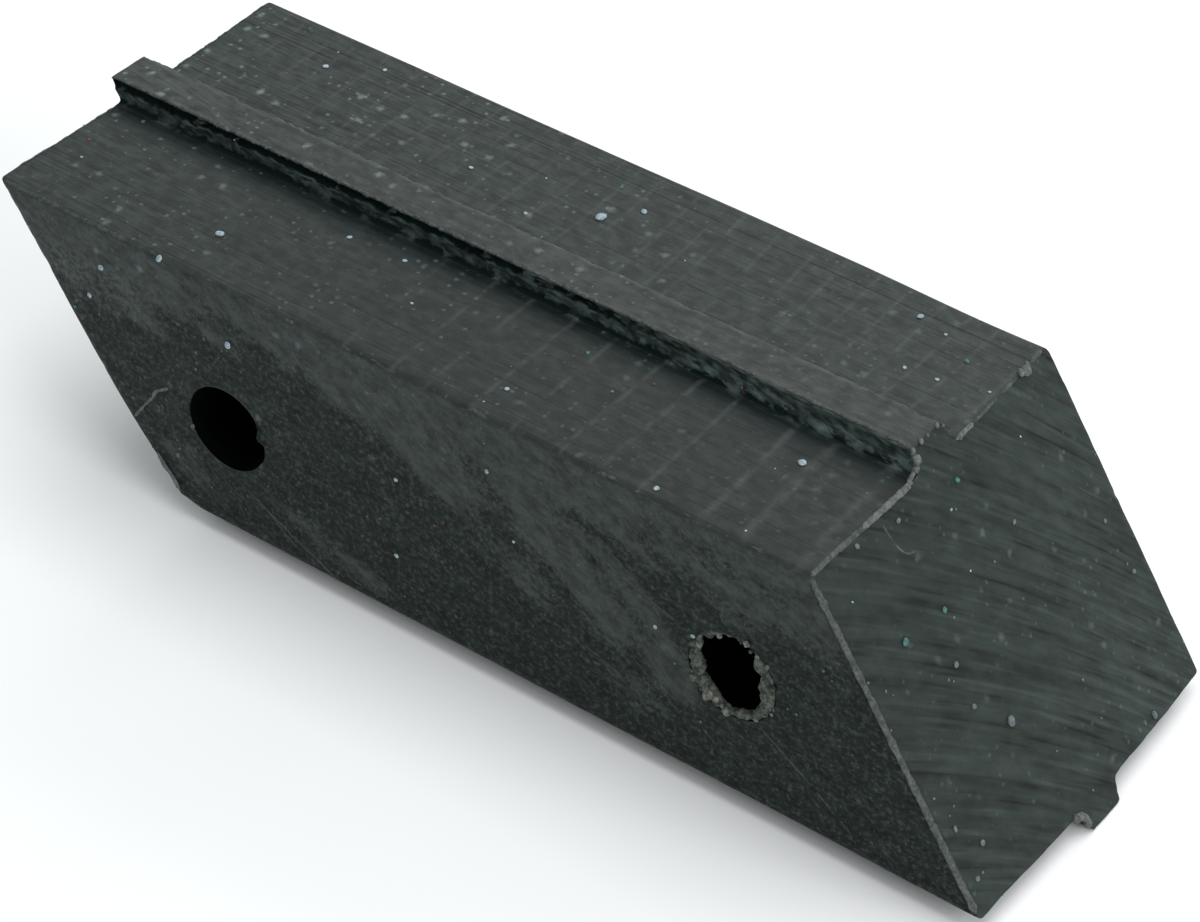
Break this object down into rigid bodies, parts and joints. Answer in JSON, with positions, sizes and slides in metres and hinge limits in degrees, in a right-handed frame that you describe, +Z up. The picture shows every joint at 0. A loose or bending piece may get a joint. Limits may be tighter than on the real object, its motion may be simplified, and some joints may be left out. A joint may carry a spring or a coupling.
{
  "type": "rubber guide block",
  "caption": "Solid black rubber block with slant-sawn parallel ends, a locating rib along top and bottom, and plain bolt holes drilled across it from front to back.",
  "frame": {"origin": "middle of the bounding box's underside, on the tip of the bottom rib", "axes": "+X along the block, towards the end whose face looks up; +Y from the front face to the back face, along the bolt holes; +Z up"},
  "size_m": [0.0995, 0.034, 0.0286],
  "materials": {
    "hard_rubber": "matte black with a faint green-grey cast, fine lengthwise score lines on the ribbed faces, arc-shaped saw marks on the ends, pale burrs along the sawn edges"
  },
  "bodies": {
    "root": {"guide_block": "hard_rubber"}
  },
  "joints": []
}
